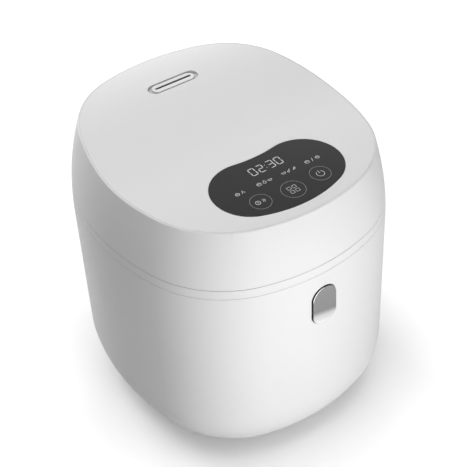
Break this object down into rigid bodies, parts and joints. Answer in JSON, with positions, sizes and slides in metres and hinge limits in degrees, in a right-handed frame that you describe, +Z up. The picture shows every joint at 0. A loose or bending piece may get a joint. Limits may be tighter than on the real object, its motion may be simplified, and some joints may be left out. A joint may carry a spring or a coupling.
{
  "type": "rice cooker",
  "caption": "Compact electric rice cooker: rounded square body, hinged lid with touch panel and slotted steam vent, front release button, lift-out pot in a heated well.",
  "frame": {"origin": "on the floor under the middle of the whole length and width", "axes": "+Z up, -Y is the front with the release button, +X is the user's right"},
  "size_m": [0.2, 0.2304, 0.2223],
  "materials": {
    "white_plastic": "white, softly glossy moulded plastic",
    "base_plastic": "light grey, fine texture",
    "lid_plastic": "light grey satin",
    "vent_plastic": "mid grey, fine texture",
    "foot_rubber": "dark, matt",
    "screw_steel": "zinc plated",
    "liner_steel": "plain sheet",
    "band_foil": "foil",
    "cast_aluminium": "cast and turned",
    "element_steel": "dull tube",
    "fuse_ceramic": "ceramic, matt",
    "spring_steel": "drawn wire",
    "pot_coating": "dark non-stick coating on aluminium",
    "board_laminate": "green laminate",
    "transformer_core": "varnished core",
    "relay_case": "blue case",
    "capacitor_can": "sleeved can",
    "black_plastic": "black, fine texture",
    "pin_brass": "plated blades",
    "button_chrome": "bright satin plating",
    "lever_plastic": "grey acetal",
    "panel_gloss": "dark grey, smooth lens",
    "display_case": "black case",
    "pad_foam": "conductive foam",
    "lid_aluminium": "spun sheet",
    "seal_silicone": "translucent pale silicone"
  },
  "bodies": {
    "base": {"outer_shell": "white_plastic", "upper_ring": "white_plastic", "base_cover": "base_plastic", "rubber_feet": "foot_rubber", "base_screws": "screw_steel", "well_liner": "liner_steel", "keep_warm_band": "band_foil", "heater_plate": "cast_aluminium", "heating_element": "element_steel", "heater_posts": "liner_steel", "thermal_fuse": "fuse_ceramic", "sensor_guide": "liner_steel", "sensor_spring": "spring_steel", "power_board": "board_laminate", "board_screws": "screw_steel", "transformer": "transformer_core", "relay": "relay_case", "capacitor": "capacitor_can", "power_inlet": "black_plastic", "inlet_pins": "pin_brass", "button_spring": "spring_steel", "latch_frame": "base_plastic", "latch_pin": "screw_steel", "latch_screws": "screw_steel", "hinge_pin": "screw_steel", "hinge_spring": "spring_steel"},
    "pot": {"inner_pot": "pot_coating"},
    "sensor": {"sensor_cap": "cast_aluminium"},
    "button": {"release_button": "button_chrome"},
    "latch": {"latch_lever": "lever_plastic"},
    "lid": {"lid_cover": "white_plastic", "lid_base": "lid_plastic", "lid_screws": "screw_steel", "lid_catch": "liner_steel", "control_panel": "panel_gloss", "control_board": "board_laminate", "control_screws": "screw_steel", "display_module": "display_case", "touch_pads": "pad_foam", "inner_lid": "lid_aluminium", "lid_gasket": "seal_silicone", "lid_grommet": "seal_silicone", "lid_sensor": "element_steel", "steam_duct": "lid_plastic", "vent_seat": "vent_plastic"},
    "vent": {"vent_cap": "white_plastic", "vent_insert": "black_plastic"}
  },
  "joints": [
    {"name": "lid_open", "type": "hinge", "parent": "base", "child": "lid", "pos_m": [0, 0.10919, 0.17025], "axis": [-1, 0, 0], "range_deg": [0, 85]},
    {"name": "vent_cap_lift", "type": "slide", "parent": "lid", "child": "vent", "axis": [0, 0, 1], "range_m": [0, 0.02]},
    {"name": "button_press", "type": "slide", "parent": "base", "child": "button", "axis": [0, 1, 0], "range_m": [0, 0.003], "stiffness_N_per_m": 800, "springref_m": -0.002, "deforming": ["button_spring"]},
    {"name": "latch_rock", "type": "hinge", "parent": "base", "child": "latch", "pos_m": [0, -0.10251, 0.1575], "axis": [1, 0, 0], "range_deg": [0, 10]},
    {"name": "sensor_press", "type": "slide", "parent": "base", "child": "sensor", "axis": [0, 0, 1], "range_m": [-0.0025, 0], "stiffness_N_per_m": 400, "springref_m": 0.002, "deforming": ["sensor_spring"]},
    {"name": "pot_turn", "type": "hinge", "parent": "base", "child": "pot", "pos_m": [0, -0.00531, 0.11], "axis": [0, 0, 1], "continuous": true}
  ],
  "couplings": [
    {"joint": "latch_rock", "follows": "button_press", "rad_per_m": 57.143}
  ]
}
